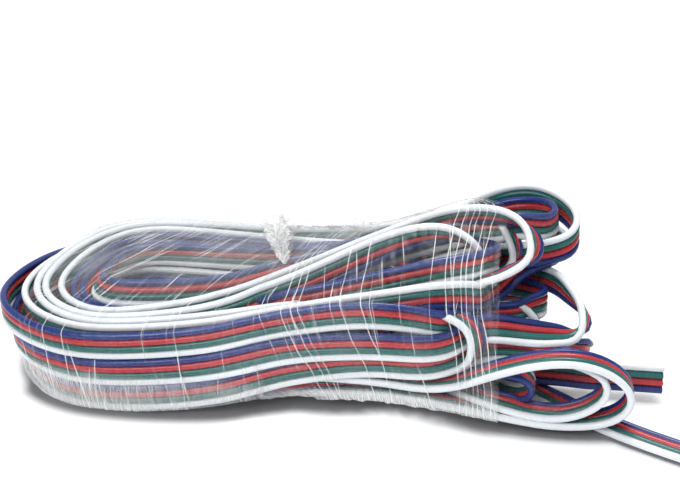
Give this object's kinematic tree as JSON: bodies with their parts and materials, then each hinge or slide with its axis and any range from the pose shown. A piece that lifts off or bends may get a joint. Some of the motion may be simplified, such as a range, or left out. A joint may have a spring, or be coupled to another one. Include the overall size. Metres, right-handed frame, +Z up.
{
  "type": "coiled ribbon extension cable",
  "caption": "Flat multicolour ribbon cable wound on edge into a long hank, wrapped in clear stretch film, with fold loops and both bare cut ends showing at one side.",
  "frame": {"origin": "centre of the bottom of the whole object's box, on the surface the hank lies on", "axes": "+X along the hank, from its round end to the loops and cut ends; +Y from the front, where the tail comes out, to the back; +Z up"},
  "size_m": [0.1696, 0.068, 0.0434],
  "materials": {
    "hank": "turns of soft flexible PVC ribbon, satin gloss, the wires white, green, red and blue",
    "ribbon": "flat ribbon of bonded soft PVC wires, satin gloss, the wires white, green, red and blue",
    "film": "clear glossy stretch film with fine milky stretch lines",
    "film_gathered": "the same film gathered and twisted into a milky rope",
    "white_pvc": "white PVC insulation, satin gloss",
    "green_pvc": "dark teal green PVC insulation, satin gloss",
    "red_pvc": "red PVC insulation, satin gloss",
    "blue_pvc": "dark blue PVC insulation, satin gloss",
    "copper": "cut ends of fine copper strands"
  },
  "bodies": {
    "root": {"hank": "hank", "film_left": "film", "film_right": "film", "film_tie": "film_gathered", "loop_bottom": "ribbon", "loop_bottom_inner": "ribbon", "loop_bottom_small": "ribbon", "loop_low": "ribbon", "loop_front": "ribbon", "loop_middle": "ribbon", "loop_middle_small": "ribbon", "loop_middle_back": "ribbon", "loop_side": "ribbon", "loop_tall": "ribbon", "loop_short": "ribbon", "loop_top": "ribbon", "loop_top_inner": "ribbon", "lead_white_wire": "white_pvc", "lead_green_wire": "green_pvc", "lead_red_wire": "red_pvc", "lead_blue_wire": "blue_pvc", "lead_white_core": "copper", "lead_green_core": "copper", "lead_red_core": "copper", "lead_blue_core": "copper", "tail": "ribbon", "tail_white_wire": "white_pvc", "tail_green_wire": "green_pvc", "tail_red_wire": "red_pvc", "tail_blue_wire": "blue_pvc", "tail_white_core": "copper", "tail_green_core": "copper", "tail_red_core": "copper", "tail_blue_core": "copper"}
  },
  "joints": []
}
